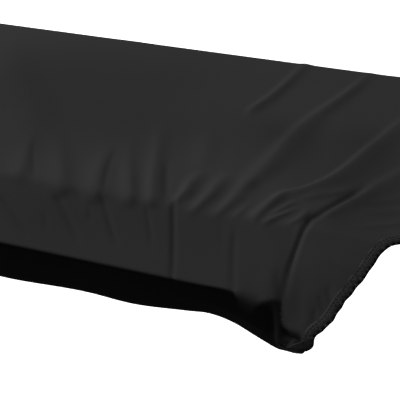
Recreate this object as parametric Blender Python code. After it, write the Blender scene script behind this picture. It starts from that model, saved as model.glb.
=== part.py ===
"""A one-piece stretch cover for a long, low body with a sloping front, with one front corner pulled back.

Metres, +X along its length, +Y to the back, +Z up. The sections below are drawn on the body that the
cover fits: y is measured from the middle of its depth and z from its underside. ORIGIN then moves
everything, so that the origin is the point under the flat top by which the cover is held up.
"""

from collections import namedtuple

import bmesh
import bpy
import numpy as np

# Whole cover
LEFT_END = -0.66
THICKNESS = 0.0024
HEM_THICKNESS = 0.0036
HEM_TUCK = 0.036
HEM_RISE = 0.002
TUCK_REACH = 0.12
WELD_DISTANCE = 0.00001
ORIGIN = (0.0, 0.105, 0.1336)

# Cloth between the flat top's front edge and the ridge, and on the sloping front
SPAN_SAG = 0.006
FRONT_SAG = 0.0015

# How a section is bent and divided, from the hem under the back to the hem under the front.
# bend is how far from the corner the bend starts, bend_steps and run_steps are rows of faces.
Station = namedtuple("Station", "name bend bend_steps run_steps")
STATIONS = (
    Station("back_hem", 0, 0, 1),
    Station("back_foot", 0.010, 2, 10),
    Station("back_top", 0.006, 2, 8),
    Station("top_front", 0.022, 2, 16),
    Station("ridge", 0.006, 2, 4),
    Station("front", 0.005, 4, 1),
    Station("belly", 0, 0, 1),
    Station("front_foot", 0.010, 2, 1),
    Station("front_hem", 0, 0, 0),
)

# Where the back half of every section lies: y, z
BACK_HALF = ((0.146, -0.004), (0.182, -0.004), (0.182, 0.140), (0.028, 0.135))

# Where the front half lies along the cover, and how soft its foremost edge is. The lower edge sags
# between the places where the hem grips. Past x = 0.41 the loose corner hangs as a bag before the rest.
FrontHalf = namedtuple(
    "FrontHalf", "x ridge_y ridge_z front_y front_z belly_y belly_z foot_y foot_z front_bend"
)
FRONT_HALF = (
    FrontHalf(-0.660, -0.125, 0.094, -0.183, 0.046, -0.177, 0.020, -0.165, -0.010, 0.005),
    FrontHalf(-0.300, -0.125, 0.094, -0.186, 0.046, -0.178, 0.020, -0.165, -0.013, 0.005),
    FrontHalf(0.020, -0.125, 0.094, -0.186, 0.046, -0.178, 0.020, -0.165, -0.015, 0.005),
    FrontHalf(0.100, -0.125, 0.094, -0.186, 0.046, -0.178, 0.019, -0.165, -0.018, 0.005),
    FrontHalf(0.202, -0.125, 0.094, -0.186, 0.046, -0.178, 0.020, -0.165, -0.013, 0.005),
    FrontHalf(0.250, -0.125, 0.094, -0.186, 0.046, -0.178, 0.020, -0.165, -0.015, 0.005),
    FrontHalf(0.314, -0.125, 0.094, -0.186, 0.046, -0.178, 0.021, -0.165, -0.008, 0.005),
    FrontHalf(0.338, -0.125, 0.094, -0.186, 0.046, -0.178, 0.021, -0.165, -0.005, 0.005),
    FrontHalf(0.365, -0.125, 0.095, -0.187, 0.0460, -0.180, 0.017, -0.165, -0.010, 0.006),
    FrontHalf(0.385, -0.125, 0.096, -0.190, 0.0435, -0.183, 0.012, -0.166, -0.018, 0.008),
    FrontHalf(0.402, -0.125, 0.096, -0.192, 0.0420, -0.185, 0.008, -0.168, -0.024, 0.008),
    FrontHalf(0.411, -0.125, 0.096, -0.193, 0.0400, -0.187, 0.007, -0.171, -0.025, 0.008),
    FrontHalf(0.420, -0.126, 0.096, -0.204, 0.0300, -0.205, 0.013, -0.180, -0.017, 0.010),
    FrontHalf(0.428, -0.126, 0.096, -0.207, 0.0270, -0.209, 0.013, -0.182, -0.015, 0.012),
    FrontHalf(0.450, -0.126, 0.096, -0.208, 0.0265, -0.210, 0.013, -0.182, -0.011, 0.012),
    FrontHalf(0.480, -0.126, 0.095, -0.208, 0.0275, -0.209, 0.014, -0.181, -0.009, 0.012),
    FrontHalf(0.500, -0.126, 0.094, -0.207, 0.0290, -0.208, 0.016, -0.180, -0.006, 0.012),
)

# Where the hem at the right end lies: x at each distance over the cloth behind the ridge
HemEnd = namedtuple("HemEnd", "across x")
HEM_END = (
    HemEnd(0.500, 0.655),
    HemEnd(0.460, 0.660),
    HemEnd(0.312, 0.655),
    HemEnd(0.230, 0.643),
    HemEnd(0.158, 0.616),
    HemEnd(0.080, 0.578),
    HemEnd(0.040, 0.549),
    HemEnd(0.020, 0.530),
    HemEnd(0.008, 0.516),
    HemEnd(0.003, 0.5085),
    HemEnd(0.000, 0.5045),
    HemEnd(-0.003, 0.5015),
    HemEnd(-0.006, 0.4995),
    HemEnd(-0.017, 0.494),
    HemEnd(-0.028, 0.4885),
    HemEnd(-0.039, 0.4815),
    HemEnd(-0.050, 0.4745),
    HemEnd(-0.061, 0.4695),
    HemEnd(-0.069, 0.465),
    HemEnd(-0.0725, 0.461),
    HemEnd(-0.0750, 0.4565),
    HemEnd(-0.0770, 0.4555),
    HemEnd(-0.0790, 0.4535),
    HemEnd(-0.0815, 0.449),
    HemEnd(-0.0920, 0.446),
    HemEnd(-0.1100, 0.443),
    HemEnd(-0.1750, 0.443),
)

# Lines that the columns of faces follow, and how many columns lie between each and the next. A line
# leans to the right as it goes back. The last one is the hem at the right end.
ColumnLine = namedtuple("ColumnLine", "x lean columns")
COLUMN_LINES = (
    ColumnLine(LEFT_END, 0, 4),
    ColumnLine(-0.60, 0, 6),
    ColumnLine(-0.12, 0, 16),
    ColumnLine(0.26, 0.25, 32),
)

# How a crease fades at its ends, as a share of its length, and how many half widths to its right
# the trough beside it lies
FOLD_FADE = 0.2
TROUGH_OFFSET = 1.7
CURVE_STEPS = 8

# Creases of the cloth: the height of the crest, its half width and the depth of the trough on its right,
# then its points, as x and the distance over the cloth behind the ridge. A negative height is a groove.
Fold = namedtuple("Fold", "height width trough points")
FOLDS = (
    Fold(0.0035, 0.0075, 0.002, ((0.308, 0.140), (0.314, 0.165), (0.324, 0.228), (0.345, 0.312))),
    Fold(0.0050, 0.0090, 0.003,
         ((0.322, 0.040), (0.344, 0.090), (0.372, 0.164), (0.384, 0.206), (0.410, 0.310))),
    Fold(0.0055, 0.0090, 0.003,
         ((0.350, -0.004), (0.369, 0.031), (0.381, 0.053), (0.417, 0.077), (0.450, 0.138),
          (0.475, 0.203), (0.492, 0.290))),
    Fold(-0.0060, 0.0100, 0,
         ((0.418, -0.010), (0.424, 0.022), (0.443, 0.054), (0.470, 0.088), (0.500, 0.130))),
    Fold(0.0040, 0.0100, 0.001,
         ((0.432, 0.004), (0.452, 0.036), (0.480, 0.072), (0.510, 0.112), (0.550, 0.190))),
    Fold(-0.0055, 0.0080, 0, ((0.428, 0.020), (0.422, -0.010), (0.417, -0.078), (0.418, -0.110))),
    Fold(0.0030, 0.0080, 0.002, ((0.300, -0.004), (0.321, 0.070))),
    Fold(0.0030, 0.0080, 0.002, ((0.276, -0.004), (0.284, 0.062))),
    Fold(0.0030, 0.0300, 0.002, ((-0.060, 0.250), (-0.011, 0.198), (0.070, 0.100), (0.155, 0.000))),
)

BLACK_KNIT = (0.028, 0.028, 0.030, 1)
KNIT_ROUGHNESS = 0.85


def smooth_step(value):
    """0 below 0, 1 above 1, and an S in between."""
    value = np.clip(value, 0, 1)
    return value * value * (3 - 2 * value)


def smooth_through(places, values, at):
    """A smooth curve through values, which are given at rising places, read where at says."""
    places = np.asarray(places, float)
    values = np.asarray(values, float)
    slopes = np.gradient(values, places)
    at = np.clip(at, places[0], places[-1])
    k = np.clip(np.searchsorted(places, at) - 1, 0, len(places) - 2)
    gap = places[k + 1] - places[k]
    t = (at - places[k]) / gap
    near = values[k] * (1 + 2 * t) * (1 - t) ** 2 + slopes[k] * gap * t * (1 - t) ** 2
    far = values[k + 1] * t**2 * (3 - 2 * t) + slopes[k + 1] * gap * t**2 * (t - 1)
    return near + far


def stations_at(x):
    """The section's corners at x, as y and z, from the back hem to the front hem, and their bends."""
    places, *columns = zip(*FRONT_HALF)
    *front, front_bend = [smooth_through(places, column, x) for column in columns]
    corners = list(BACK_HALF) + list(zip(front[::2], front[1::2]))
    corners.append((corners[-1][0] + HEM_TUCK, corners[-1][1] + HEM_RISE))
    bends = [front_bend if station.name == "front" else station.bend for station in STATIONS]
    return np.array(corners, float), bends


def bent_section(corners, bends):
    """The section's points row by row, with each corner rounded, from the back hem to the front hem."""
    points = [corners[0]]
    for k in range(len(STATIONS) - 1):
        station, following = STATIONS[k], STATIONS[k + 1]
        run = corners[k + 1] - corners[k]
        run /= np.linalg.norm(run)
        start = corners[k] + run * bends[k]
        end = corners[k + 1] - run * bends[k + 1]
        for step in range(1, station.run_steps + 1):
            points.append(start + (end - start) * step / station.run_steps)
        if following.bend_steps:
            onward = corners[k + 2] - corners[k + 1]
            onward /= np.linalg.norm(onward)
            leave = corners[k + 1] + onward * bends[k + 1]
            for step in range(1, following.bend_steps + 1):
                t = step / following.bend_steps
                points.append((1 - t) ** 2 * end + 2 * t * (1 - t) * corners[k + 1] + t**2 * leave)
    return np.array(points)


def row_of(name):
    """The row in the middle of a station's bend."""
    row = 0
    for station in STATIONS:
        if station.name == name:
            return row + station.bend_steps // 2
        row += station.bend_steps + station.run_steps
    raise ValueError(name)


def across_of_rows():
    """Each row's distance over the cloth behind the ridge, on a plain section."""
    points = bent_section(*stations_at(0.0))
    steps = np.linalg.norm(np.diff(points, axis=0), axis=1)
    travelled = np.concatenate([[0], np.cumsum(steps)])
    return travelled[row_of("ridge")] - travelled


def column_places(across):
    """x of every column and row: the columns lean with their lines, and the last lies on the hem."""
    order = HEM_END[::-1]
    hem = smooth_through([end.across for end in order], [end.x for end in order], across)
    lines = [line.x + line.lean * np.clip(across, 0, None) for line in COLUMN_LINES] + [hem]
    columns = []
    for k, line in enumerate(COLUMN_LINES):
        for step in range(line.columns):
            columns.append(lines[k] + (lines[k + 1] - lines[k]) * step / line.columns)
    return np.stack(columns + [hem], axis=1)


def fold_height(fold, x, across):
    """How far one crease lifts the cloth at these places."""
    knots = np.array(fold.points)
    spots = np.linspace(0, 1, len(knots))
    fine = np.linspace(0, 1, CURVE_STEPS * len(knots))
    path = np.stack([smooth_through(spots, knots[:, c], fine) for c in (0, 1)], axis=1)
    nearest = np.full(x.shape, np.inf)
    side = np.zeros(x.shape)
    along = np.zeros(x.shape)
    for k in range(len(path) - 1):
        a, run = path[k], path[k + 1] - path[k]
        t = ((x - a[0]) * run[0] + (across - a[1]) * run[1]) / (run @ run)
        t = np.clip(t, 0, 1)
        dx, da = x - a[0] - t * run[0], across - a[1] - t * run[1]
        distance = np.hypot(dx, da)
        closer = distance < nearest
        nearest = np.where(closer, distance, nearest)
        side = np.where(closer, np.sign(dx * run[1] - da * run[0]), side)
        along = np.where(closer, (k + t) / (len(path) - 1), along)
    ends = smooth_step(along / FOLD_FADE) * smooth_step((1 - along) / FOLD_FADE)
    crest = fold.height * np.exp(-((nearest / fold.width) ** 2))
    offset = side * nearest / fold.width - TROUGH_OFFSET
    return ends * (crest - fold.trough * np.exp(-(offset**2)))


def sag_between(rows, start, end, depth):
    """A shallow hollow in the run between two stations, deepest halfway."""
    middle = (rows - row_of(start)) / (row_of(end) - row_of(start))
    inside = (middle > 0) & (middle < 1)
    return np.where(inside, -depth * np.sin(np.pi * np.clip(middle, 0, 1)) ** 2, 0)


def cover_rows():
    """The outer face as points by row and column, without the closed end."""
    across = across_of_rows()
    x = column_places(across)
    rows = np.arange(len(across))
    yz = np.zeros(x.shape + (2,))
    for column in range(x.shape[1]):
        for row in range(len(rows)):
            if row == 0 or x[row, column] != x[row - 1, column]:
                section = bent_section(*stations_at(x[row, column]))
            yz[row, column] = section[row]
    lift = sum(fold_height(fold, x, across[:, None]) for fold in FOLDS)
    lift += sag_between(rows, "top_front", "ridge", SPAN_SAG)[:, None]
    lift += sag_between(rows, "ridge", "front", FRONT_SAG)[:, None]
    tangent = np.gradient(yz, axis=0)
    tangent /= np.linalg.norm(tangent, axis=2, keepdims=True)
    outward = np.stack([tangent[..., 1], -tangent[..., 0]], axis=2)
    yz += outward * lift[..., None]
    return np.concatenate([x[..., None], yz], axis=2)


def tuck_left_end(points):
    """Draws the hem rows at the left end inwards, so that the closed end can tuck under too."""
    beyond_back = row_of("back_foot") - np.arange(len(points))
    beyond_front = np.arange(len(points)) - row_of("front_foot")
    reach = np.maximum(beyond_back, beyond_front) / (len(points) - 1 - row_of("front_foot"))
    near_end = 1 - smooth_step((points[..., 0] - LEFT_END) / TUCK_REACH)
    points[..., 0] += HEM_TUCK * smooth_step(reach)[:, None] * near_end
    return points


def closed_end(points):
    """The left end's wall, as points down from the top's edge and from the front to the back."""
    edge = points[:, 0]
    top = edge[row_of("back_top"):row_of("ridge") + 1][::-1]
    front = edge[row_of("ridge"):]
    back = edge[:row_of("back_top") + 1][::-1]
    a = (top[:, 1] - top[0, 1]) / (top[-1, 1] - top[0, 1])
    b = np.linspace(0, 1, len(front))
    foot = front[-1] + (back[-1] - front[-1]) * a[:, None]
    down = top[None] * (1 - b)[:, None, None] + foot[None] * b[:, None, None]
    over = front[:, None] * (1 - a)[None, :, None] + back[:, None] * a[None, :, None]
    flat_top = top[0] * (1 - a)[:, None] + top[-1] * a[:, None]
    plain = flat_top[None] * (1 - b)[:, None, None] + foot[None] * b[:, None, None]
    return down + over - plain


def add_faces(mesh, points, flip):
    """Adds a grid of points to the mesh as quads."""
    verts = [[mesh.verts.new(point) for point in row] for row in points]
    for r in range(len(verts) - 1):
        for c in range(len(verts[0]) - 1):
            ring = [verts[r][c], verts[r + 1][c], verts[r + 1][c + 1], verts[r][c + 1]]
            mesh.faces.new(ring[::-1] if flip else ring)


def knit_material():
    material = bpy.data.materials.new("black_knit")
    material.use_nodes = True
    shader = material.node_tree.nodes["Principled BSDF"]
    shader.inputs["Base Color"].default_value = BLACK_KNIT
    shader.inputs["Roughness"].default_value = KNIT_ROUGHNESS
    shader.inputs["Metallic"].default_value = 0
    return material


def build_cover():
    points = tuck_left_end(cover_rows())
    mesh = bmesh.new()
    add_faces(mesh, points - ORIGIN, False)
    add_faces(mesh, closed_end(points) - ORIGIN, True)
    bmesh.ops.remove_doubles(mesh, verts=mesh.verts, dist=WELD_DISTANCE)
    mesh.verts.index_update()
    hem = {vert.index for edge in mesh.edges if edge.is_boundary for vert in edge.verts}
    data = bpy.data.meshes.new("cover")
    mesh.to_mesh(data)
    mesh.free()
    cover = bpy.data.objects.new("cover", data)
    bpy.context.scene.collection.objects.link(cover)
    data.materials.append(knit_material())
    data.shade_smooth()
    thicken(cover, hem)
    return cover


def thicken(cover, hem):
    """Gives the cloth its thickness, inwards, a little more along the hem."""
    group = cover.vertex_groups.new(name="thickness")
    for index in range(len(cover.data.vertices)):
        group.add([index], 1.0 if index in hem else THICKNESS / HEM_THICKNESS, "REPLACE")
    solid = cover.modifiers.new("thickness", "SOLIDIFY")
    solid.thickness = HEM_THICKNESS
    solid.offset = -1
    solid.vertex_group = group.name
    solid.use_rim = True
    solid.use_quality_normals = True


def main():
    for thing in list(bpy.data.objects):
        bpy.data.objects.remove(thing)
    build_cover()


main()
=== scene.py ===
"""Looks of a one-piece black stretch cover: its cloth with every fold, its gathered hem and its stitching.

Metres, +X along the cover, +Y to the back, +Z up. The sections are drawn on the body that the cover fits,
with y from the middle of its depth and z from its underside, and ORIGIN then moves everything to the
frame's origin, as in the part's source.
"""

import math
from collections import namedtuple

import bpy
import numpy as np
from bpy.props import FloatProperty, FloatVectorProperty, IntProperty, PointerProperty
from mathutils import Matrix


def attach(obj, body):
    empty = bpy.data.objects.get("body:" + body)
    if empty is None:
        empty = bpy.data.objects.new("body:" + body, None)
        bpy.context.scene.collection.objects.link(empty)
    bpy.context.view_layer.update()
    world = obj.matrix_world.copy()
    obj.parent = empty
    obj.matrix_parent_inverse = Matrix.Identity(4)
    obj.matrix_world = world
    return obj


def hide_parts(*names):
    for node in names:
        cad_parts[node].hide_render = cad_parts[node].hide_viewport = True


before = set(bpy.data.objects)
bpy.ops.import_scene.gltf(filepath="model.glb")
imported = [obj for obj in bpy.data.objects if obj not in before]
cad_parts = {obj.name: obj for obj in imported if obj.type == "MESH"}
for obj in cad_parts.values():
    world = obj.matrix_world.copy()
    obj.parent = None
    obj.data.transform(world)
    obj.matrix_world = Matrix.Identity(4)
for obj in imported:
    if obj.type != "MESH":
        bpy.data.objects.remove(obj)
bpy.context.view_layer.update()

bl_info = {
    "name": "Stretch Cover",
    "version": (1, 0, 0),
    "blender": (4, 5, 0),
    "location": "View3D > Sidebar > Cover",
    "description": "Makes a one-piece stretch cover with folds, a gathered hem and stitching",
    "category": "Add Mesh",
}

# Whole cover
LEFT_END = -0.66
HEM_TUCK = 0.036
HEM_RISE = 0.002
TUCK_REACH = 0.12
ORIGIN = (0.0, 0.105, 0.1336)
SPAN_SAG = 0.006
FRONT_SAG = 0.0015

# How a section is bent and divided, from the hem under the back to the hem under the front.
# bend is how far from the corner the bend starts, bend_steps and run_steps are rows of faces.
Station = namedtuple("Station", "name bend bend_steps run_steps")
STATIONS = (
    Station("back_hem", 0, 0, 4),
    Station("back_foot", 0.010, 4, 31),
    Station("back_top", 0.006, 4, 26),
    Station("top_front", 0.022, 6, 54),
    Station("ridge", 0.006, 4, 18),
    Station("front", 0.004, 8, 2),
    Station("belly", 0, 0, 5),
    Station("front_foot", 0.010, 3, 3),
    Station("front_hem", 0, 0, 0),
)
FRONT_STATION = 5

# Where the back half of every section lies: y, z
BACK_HALF = ((0.146, -0.004), (0.182, -0.004), (0.182, 0.140), (0.028, 0.135))

# Where the front half lies along the cover, and how soft its foremost edge is. The lower edge sags
# between the places where the hem grips. Past x = 0.41 the loose corner hangs as a bag before the rest.
FrontHalf = namedtuple(
    "FrontHalf", "x ridge_y ridge_z front_y front_z belly_y belly_z foot_y foot_z front_bend"
)
FRONT_HALF = (
    FrontHalf(-0.660, -0.125, 0.094, -0.183, 0.046, -0.177, 0.020, -0.165, -0.010, 0.005),
    FrontHalf(-0.300, -0.125, 0.094, -0.186, 0.046, -0.178, 0.020, -0.165, -0.013, 0.005),
    FrontHalf(0.020, -0.125, 0.094, -0.186, 0.046, -0.178, 0.020, -0.165, -0.015, 0.005),
    FrontHalf(0.100, -0.125, 0.094, -0.186, 0.046, -0.178, 0.019, -0.165, -0.018, 0.005),
    FrontHalf(0.202, -0.125, 0.094, -0.186, 0.046, -0.178, 0.020, -0.165, -0.013, 0.005),
    FrontHalf(0.250, -0.125, 0.094, -0.186, 0.046, -0.178, 0.020, -0.165, -0.015, 0.005),
    FrontHalf(0.314, -0.125, 0.094, -0.186, 0.046, -0.178, 0.021, -0.165, -0.008, 0.005),
    FrontHalf(0.338, -0.125, 0.094, -0.186, 0.046, -0.178, 0.021, -0.165, -0.005, 0.005),
    FrontHalf(0.365, -0.125, 0.095, -0.187, 0.0460, -0.180, 0.017, -0.165, -0.010, 0.006),
    FrontHalf(0.385, -0.125, 0.096, -0.190, 0.0435, -0.183, 0.012, -0.166, -0.018, 0.008),
    FrontHalf(0.402, -0.125, 0.096, -0.192, 0.0420, -0.185, 0.008, -0.168, -0.024, 0.008),
    FrontHalf(0.411, -0.125, 0.096, -0.193, 0.0400, -0.187, 0.007, -0.171, -0.025, 0.008),
    FrontHalf(0.420, -0.126, 0.096, -0.204, 0.0300, -0.205, 0.013, -0.180, -0.017, 0.010),
    FrontHalf(0.428, -0.126, 0.096, -0.207, 0.0270, -0.209, 0.013, -0.182, -0.015, 0.012),
    FrontHalf(0.450, -0.126, 0.096, -0.208, 0.0265, -0.210, 0.013, -0.182, -0.011, 0.012),
    FrontHalf(0.480, -0.126, 0.095, -0.208, 0.0275, -0.209, 0.014, -0.181, -0.009, 0.012),
    FrontHalf(0.500, -0.126, 0.094, -0.207, 0.0290, -0.208, 0.016, -0.180, -0.006, 0.012),
)

# Where the hem at the right end lies: x at each distance over the cloth behind the ridge
HemEnd = namedtuple("HemEnd", "across x")
HEM_END = (
    HemEnd(0.500, 0.655),
    HemEnd(0.460, 0.660),
    HemEnd(0.312, 0.655),
    HemEnd(0.230, 0.643),
    HemEnd(0.158, 0.616),
    HemEnd(0.080, 0.578),
    HemEnd(0.040, 0.549),
    HemEnd(0.020, 0.531),
    HemEnd(0.008, 0.5175),
    HemEnd(0.003, 0.5105),
    HemEnd(0.000, 0.5065),
    HemEnd(-0.003, 0.5035),
    HemEnd(-0.006, 0.5013),
    HemEnd(-0.017, 0.4955),
    HemEnd(-0.028, 0.4903),
    HemEnd(-0.039, 0.4830),
    HemEnd(-0.050, 0.4755),
    HemEnd(-0.061, 0.4700),
    HemEnd(-0.069, 0.465),
    HemEnd(-0.0725, 0.461),
    HemEnd(-0.0750, 0.4565),
    HemEnd(-0.0770, 0.4555),
    HemEnd(-0.0790, 0.4550),
    HemEnd(-0.0815, 0.4505),
    HemEnd(-0.0920, 0.446),
    HemEnd(-0.1100, 0.443),
    HemEnd(-0.1750, 0.443),
)

# Lines that the columns of faces follow, and how many columns lie between each and the next. A line
# leans to the right as it goes back. The last one is the hem at the right end.
ColumnLine = namedtuple("ColumnLine", "x lean columns")
COLUMN_LINES = (
    ColumnLine(LEFT_END, 0, 5),
    ColumnLine(-0.60, 0, 20),
    ColumnLine(-0.05, 0, 14),
    ColumnLine(0.07, 0.12, 102),
    ColumnLine(0.26, 0.25, 118),
)

# The wider pleats that the elastic pulls into the cloth at the right end: spacing, height and reach
PLEAT_SPACING = 0.017
PLEAT_HEIGHT = 0.0005
PLEAT_REACH = 0.022

# Painted shade where the cloth turns under at the front, laid into its colour: x along the cover, where the
# painted shade starts, as a distance over the cloth behind the ridge, how far it takes to reach its depth,
# and that depth
UnderShadeBand = namedtuple("UnderShadeBand", "x start fade depth")
UNDER_SHADE_BAND = (
    UnderShadeBand(-0.660, -0.0750, 0.003, 1.00),
    UnderShadeBand(0.352, -0.0750, 0.003, 1.00),
    UnderShadeBand(0.368, -0.0750, 0.004, 1.00),
    UnderShadeBand(0.376, -0.0790, 0.014, 1.00),
    UnderShadeBand(0.390, -0.0820, 0.014, 1.00),
    UnderShadeBand(0.399, -0.0765, 0.008, 1.00),
    UnderShadeBand(0.408, -0.0730, 0.006, 1.00),
    UnderShadeBand(0.417, -0.0720, 0.006, 1.00),
    UnderShadeBand(0.4192, -0.0820, 0.005, 1.00),
    UnderShadeBand(0.422, -0.0930, 0.005, 0.97),
    UnderShadeBand(0.425, -0.0980, 0.004, 0.90),
    UnderShadeBand(0.430, -0.1010, 0.004, 0.55),
    UnderShadeBand(0.436, -0.1030, 0.004, 0.30),
    UnderShadeBand(0.448, -0.1025, 0.006, 0.30),
    UnderShadeBand(0.460, -0.0970, 0.010, 0.25),
    UnderShadeBand(0.660, -0.0970, 0.010, 0.25),
)

# Painted light and shade in slow patches, where the sagging cloth catches or misses the light: the middle of
# each patch, as x and the distance behind the ridge, how far it reaches both ways, and how much it lightens
# or, below nothing, darkens the cloth
Patch = namedtuple("Patch", "x over reach_x reach_over change")
PAINTED_LIGHT_PATCHES = (
    Patch(0.06, 0.18, 0.16, 0.10, -0.22),
    Patch(0.01, 0.15, 0.05, 0.06, -0.08),
    Patch(0.18, 0.20, 0.10, 0.08, -0.08),
    Patch(0.08, 0.055, 0.05, 0.035, -0.12),
    Patch(0.295, 0.08, 0.045, 0.045, 0.15),
    Patch(0.36, 0.135, 0.03, 0.02, -0.16),
    Patch(0.45, 0.14, 0.035, 0.03, -0.14),
    Patch(0.475, 0.055, 0.035, 0.03, -0.18),
    Patch(0.45, 0.015, 0.03, 0.02, -0.20),
    Patch(0.39, -0.015, 0.03, 0.04, 0.08),
    Patch(0.32, -0.02, 0.10, 0.04, 0.07),
    Patch(0.145, -0.055, 0.06, 0.03, -0.12),
    Patch(0.395, 0.045, 0.018, 0.012, 0.12),
    Patch(0.43, -0.08, 0.014, 0.018, -0.16),
    Patch(0.46, -0.055, 0.018, 0.018, 0.08),
    Patch(0.4135, -0.10, 0.004, 0.03, -0.75),
)

# The hem's casing: the step along it, the points around it, how many steps its directions are averaged
# over, how boxy its section is, how much of its swell it loses in the open, and its girth in widths
HEM_STEP = 0.0016
HEM_SIDES = 12
HEM_EASE = 6
HEM_ROUNDNESS = 0.55
HEM_FLATTENING = 0.75
HEM_GIRTH = 2.4

# The hem's broad gathers: their spacing in little gathers, how much they swell the hem, and how far the
# hem's edge wanders with them
BROAD_GATHERS = 3.1
BROAD_SWELL = 0.12
EDGE_WANDER = 0.0006

# Where the hem comes into the open: z from the body's underside and y before its middle, and over what
# stretch it does so
OPEN_ABOVE = 0.010
OPEN_ABOVE_REACH = 0.014
OPEN_BEFORE = 0.160
OPEN_BEFORE_REACH = 0.012

# How far the inner row of stitches lies from the hem's inner edge, the step from stitch to stitch in
# stitch lengths, how far a stitch turns by chance, in radians, and how far it stands out in thread widths
STITCH_INSET = 0.0018
STITCH_PITCH = 1.25
STITCH_UNEVENNESS = 0.12
STITCH_RISE = 0.15

# Textures of the knit and the thread: their scales, the reach and depth of the fine gathers beside the
# hem, the depth of the knit, and the distance that stands for away from the fine gathers
CLOUD_SCALE = 11.0
FUZZ_SCALE = 900.0
DRIFT_SCALE = 60.0
GATHER_PATCH_SCALE = 34.0
TWIST_SCALE = 1400.0
FINE_GATHER_REACH = 0.0055
FINE_GATHER_DEPTH = 0.00028
KNIT_DEPTH = 0.000022
AWAY_FROM_GATHERS = 0.02

# Camera, floor and lights
CAMERA_PLACE = (0.6036, -1.0211, 0.4584)
CAMERA_TURN = (math.radians(60.0), 0.0, math.radians(20.2))
CAMERA_LENS = 87.12
FLOOR_HEIGHT = -0.75
FLOOR_SIZE = 30.0
FLOOR_SCALE = 0.6
FLOOR_GLOW = 0.75
LIGHT_AIM = (0.2, 0.0, 0.0)
Light = namedtuple("Light", "name place size power")
LIGHTS = (
    Light("key_left", (-5.5, 0.9, 4.0), 1.8, 590.0),
    Light("fill_front", (0.8, -2.5, 2.4), 1.6, 14.0),
)
AIR_LIGHT = 0.20

# How many half widths away a fold still counts, and how finely its line is followed
FOLD_REACH = 3.2
CURVE_STEPS = 6

# Folds of the cloth. Each has a shade, which is how much painted shade darkens the cloth's colour in it, and
# points along
# its line: x, the distance over the cloth behind the ridge, the height there, and the half widths of its left
# and right sides. A negative height is a groove.
Fold = namedtuple("Fold", "shade points")


def fold(height, left, right, *line, shade=0, start=0, end=0):
    """A fold of one height and width, which starts and ends at these shares of its height."""
    heights = [start * height] + [height] * (len(line) - 2) + [end * height]
    return Fold(shade, [(x, over, rise, left, right) for (x, over), rise in zip(line, heights)])


# The long folds that run back from the loose corner
PULL_FOLDS = (
    fold(0.0027, 0.005, 0.008, (0.311, 0.158), (0.316, 0.172), (0.325, 0.205), (0.332, 0.245),
         (0.340, 0.316), end=0.35),
    Fold(0, ((0.343, 0.035, 0, 0.012, 0.008), (0.347, 0.055, 0.0026, 0.012, 0.009),
             (0.356, 0.080, 0.0034, 0.011, 0.013), (0.370, 0.125, 0.0030, 0.0075, 0.020),
             (0.390, 0.188, 0.0027, 0.006, 0.010), (0.410, 0.256, 0.0025, 0.0055, 0.008),
             (0.422, 0.317, 0, 0.0055, 0.008))),
    Fold(0, ((0.366, -0.002, 0, 0.006, 0.006), (0.372, 0.007, 0.0026, 0.007, 0.006),
             (0.382, 0.035, 0.0040, 0.005, 0.008), (0.389, 0.047, 0.0042, 0.0034, 0.010),
             (0.405, 0.058, 0.0044, 0.0027, 0.012), (0.430, 0.086, 0.0037, 0.003, 0.015),
             (0.450, 0.119, 0.0032, 0.0038, 0.019), (0.471, 0.164, 0.0026, 0.0048, 0.017),
             (0.496, 0.254, 0, 0.0048, 0.015))),
    fold(0.0014, 0.0036, 0.005, (0.404, 0.038), (0.414, 0.046), (0.436, 0.060), (0.455, 0.074)),
    fold(0.0009, 0.003, 0.004, (0.409, 0.052), (0.422, 0.058), (0.444, 0.073)),
    Fold(0, ((0.432, 0.017, 0, 0.004, 0.005), (0.438, 0.028, 0.0024, 0.0034, 0.008),
             (0.451, 0.048, 0.0035, 0.003, 0.013), (0.462, 0.063, 0.0031, 0.0036, 0.014),
             (0.476, 0.083, 0.0016, 0.0054, 0.013), (0.494, 0.104, 0.0015, 0.006, 0.014),
             (0.527, 0.139, 0, 0.006, 0.014))),
)

# The deep groove beside the loose corner, over the ridge and down the front, with painted shade in it
CORNER_GROOVE = (
    Fold(0.24, ((0.422, 0.001, -0.0012, 0.0034, 0.0030), (0.425, 0.014, -0.0022, 0.0038, 0.0034),
                (0.432, 0.024, -0.0028, 0.0042, 0.0034), (0.445, 0.046, -0.0030, 0.0044, 0.0034),
                (0.454, 0.059, -0.0028, 0.0044, 0.0034), (0.468, 0.082, 0, 0.005, 0.005))),
    Fold(0.14, ((0.419, -0.068, -0.0006, 0.0034, 0.0030), (0.417, -0.046, -0.0020, 0.0029, 0.0028),
                (0.419, -0.020, -0.0022, 0.0026, 0.0026), (0.422, 0.002, -0.0018, 0.0026, 0.0026),
                (0.424, 0.012, -0.0008, 0.0026, 0.0026))),
)

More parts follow.
